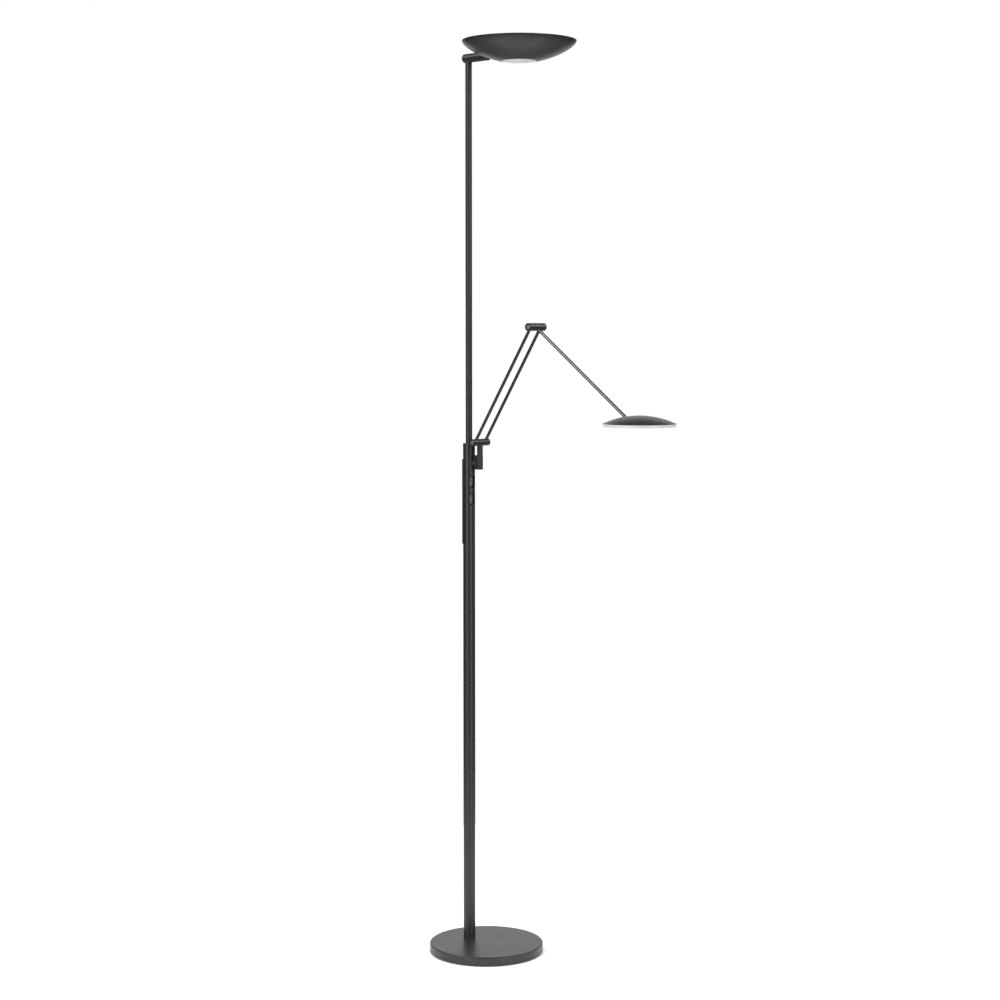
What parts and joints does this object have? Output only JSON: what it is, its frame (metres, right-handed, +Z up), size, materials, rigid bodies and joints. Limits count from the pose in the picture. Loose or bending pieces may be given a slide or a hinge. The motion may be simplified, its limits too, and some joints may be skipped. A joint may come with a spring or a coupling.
{
  "type": "torchiere floor lamp",
  "caption": "Floor lamp with an upward dish light on a thin pole and a jointed reading arm with a shallow round head, on a weighted disc base.",
  "frame": {"origin": "centre of the base's underside, on the floor", "axes": "+Z up along the column, +X towards the dish and the reading head"},
  "size_m": [0.5749, 0.227, 1.8],
  "materials": {
    "graphite_lacquer": "satin graphite lacquer on steel",
    "graphite_shade": "satin graphite lacquer on spun aluminium",
    "cast_weight": "raw casting",
    "felt_pad": "needled felt",
    "black_plastic": "moulded black plastic",
    "zinc_steel": "zinc-plated steel",
    "bright_steel": "dark polished nickel plate",
    "grey_plastic": "moulded grey plastic",
    "circuit_board": "solder resist",
    "white_board": "white solder resist",
    "heat_plate": "raw aluminium sheet",
    "opal_acrylic": "opal acrylic, satin face"
  },
  "bodies": {
    "stand": {"base_cover": "graphite_lacquer", "base_weight": "cast_weight", "base_felt": "felt_pad", "cord_gland": "black_plastic", "foot_washer": "zinc_steel", "foot_nut": "zinc_steel", "column": "graphite_lacquer", "foot_plug": "zinc_steel", "column_cap": "graphite_lacquer", "upper_pole": "graphite_lacquer", "pole_spigot": "zinc_steel", "rear_cover": "graphite_lacquer", "rear_cover_screw_top": "zinc_steel", "rear_cover_screw_bottom": "zinc_steel", "dimmer_board": "circuit_board", "led_driver": "black_plastic", "upper_dimmer_housing": "black_plastic", "lower_dimmer_housing": "black_plastic", "arm_holder": "graphite_lacquer", "arm_mount_screw": "zinc_steel", "arm_grub_screw": "zinc_steel"},
    "uplight": {"bracket_bar": "graphite_lacquer", "dish_shell": "graphite_shade", "top_diffuser": "opal_acrylic", "dish_plate": "heat_plate", "bracket_screw": "zinc_steel", "dish_led_board": "white_board", "bottom_lens": "opal_acrylic", "lower_light_carrier": "heat_plate", "lower_led_board": "white_board"},
    "arm_base": {"swivel_post": "graphite_lacquer", "lower_hinge_hub": "graphite_lacquer"},
    "lower_arm": {"lower_hinge_knuckle_right": "graphite_lacquer", "lower_hinge_knuckle_left": "graphite_lacquer", "lower_hinge_bolt": "bright_steel", "lower_hinge_nut": "zinc_steel", "arm_rod_right": "graphite_lacquer", "arm_rod_left": "graphite_lacquer", "elbow_knuckle_right": "graphite_lacquer", "elbow_knuckle_left": "graphite_lacquer", "elbow_bolt": "bright_steel", "elbow_nut": "zinc_steel"},
    "upper_arm": {"elbow_hub": "graphite_lacquer", "reading_rod": "bright_steel"},
    "reading_head": {"head_dome": "graphite_shade", "head_diffuser": "opal_acrylic", "head_plate": "heat_plate", "head_led_board": "white_board", "head_hinge_bracket": "zinc_steel", "head_hinge_pin": "zinc_steel"},
    "upper_paddle": {"upper_dimmer_paddle": "grey_plastic"},
    "lower_paddle": {"lower_dimmer_paddle": "grey_plastic"}
  },
  "joints": [
    {"name": "uplight_swivel", "type": "hinge", "parent": "stand", "child": "uplight", "pos_m": [-0.047, 0, 1.7786], "axis": [0, 0, 1], "range_deg": [-175, 175]},
    {"name": "arm_swivel", "type": "hinge", "parent": "stand", "child": "arm_base", "pos_m": [-0.017, 0, 0.99], "axis": [0, 0, 1], "range_deg": [-45, 45]},
    {"name": "lower_arm_tilt", "type": "hinge", "parent": "arm_base", "child": "lower_arm", "pos_m": [-0.017, 0, 1.0242], "axis": [0, 1, 0], "range_deg": [-30, 45]},
    {"name": "elbow_fold", "type": "hinge", "parent": "lower_arm", "child": "upper_arm", "pos_m": [0.13194, 0, 1.2518], "axis": [0, 1, 0], "range_deg": [-60, 40]},
    {"name": "head_tilt", "type": "hinge", "parent": "upper_arm", "child": "reading_head", "pos_m": [0.36445, 0, 1.07849], "axis": [0, 1, 0], "range_deg": [-50, 15]},
    {"name": "upper_dimmer_rock", "type": "hinge", "parent": "stand", "child": "upper_paddle", "pos_m": [-0.045, 0, 0.9443], "axis": [0, 1, 0], "range_deg": [-4, 4], "stiffness_Nm_per_rad": 0.05},
    {"name": "lower_dimmer_rock", "type": "hinge", "parent": "stand", "child": "lower_paddle", "pos_m": [-0.045, 0, 0.9101], "axis": [0, 1, 0], "range_deg": [-4, 4], "stiffness_Nm_per_rad": 0.05}
  ]
}
